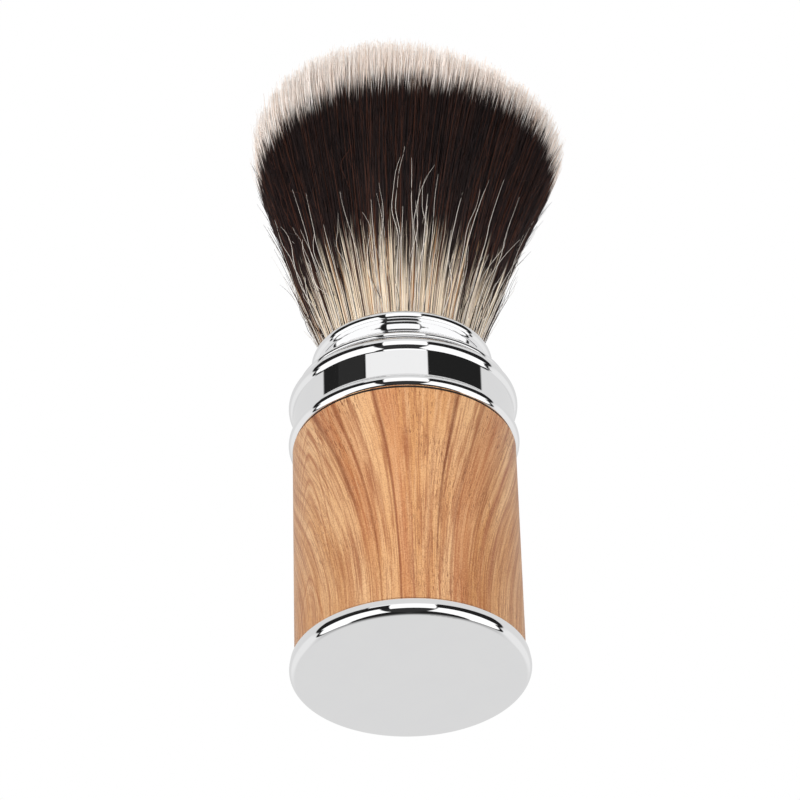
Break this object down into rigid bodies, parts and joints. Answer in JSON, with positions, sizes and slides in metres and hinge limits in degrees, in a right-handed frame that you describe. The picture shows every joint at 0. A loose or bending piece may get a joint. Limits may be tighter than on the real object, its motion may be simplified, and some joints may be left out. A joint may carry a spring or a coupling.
{
  "type": "barber fade brush",
  "caption": "Round soft-haired fade brush on a weighted barrel handle with chrome cap, collar and screw-in neck; head and base cap unscrew.",
  "frame": {"origin": "centre of the base cap's flat face, which the brush stands on", "axes": "+Z along the brush's axis from the base cap to the tips of the hair; +X through the two collar keys; the front of the grain faces -Y"},
  "size_m": [0.049, 0.049, 0.1068],
  "materials": {
    "chrome": "mirror-polished plate",
    "seal": "matte black",
    "ballast_steel": "turned, as machined",
    "foam": "closed-cell foam",
    "liner_plastic": "moulded",
    "wood_grain": "satin lacquered, straight and cathedral grain",
    "rod_steel": "zinc plated",
    "spring_steel": "oiled",
    "resin": "cast resin",
    "thread": "tied twine",
    "hair": "three-band soft hair: cream root, dark middle, pale tips"
  },
  "bodies": {
    "base": {"base_cap": "chrome"},
    "base_seal_ring": {"base_seal": "seal"},
    "handle": {"ballast": "ballast_steel", "ballast_pad": "foam", "grip_core": "liner_plastic", "grip_sleeve": "wood_grain", "tie_rod": "rod_steel", "collar_seal": "seal", "collar": "chrome", "collar_keys": "rod_steel", "rod_washer": "rod_steel", "spring_washer": "spring_steel", "rod_nut": "rod_steel"},
    "washer": {"neck_washer": "seal"},
    "head": {"neck_ferrule": "chrome", "knot_glue": "resin", "knot_plug": "resin", "knot_binding": "thread", "knot_hair": "hair"}
  },
  "joints": [
    {"name": "base_lift", "type": "slide", "parent": "base", "child": "base_seal_ring", "axis": [0, 0, 1], "range_m": [0, 0.005]},
    {"name": "base_turn", "type": "hinge", "parent": "base_seal_ring", "child": "handle", "pos_m": [0, 0, 0.0025], "axis": [0, 0, 1], "range_deg": [0, 1800]},
    {"name": "head_lift", "type": "slide", "parent": "handle", "child": "washer", "axis": [0, 0, 1], "range_m": [0, 0.0045]},
    {"name": "head_turn", "type": "hinge", "parent": "washer", "child": "head", "pos_m": [0, 0, 0.0503], "axis": [0, 0, 1], "range_deg": [0, 1080]}
  ],
  "couplings": [
    {"joint": "base_lift", "follows": "base_turn", "m_per_rad": 0.00015915},
    {"joint": "head_lift", "follows": "head_turn", "m_per_rad": 0.00023873}
  ]
}
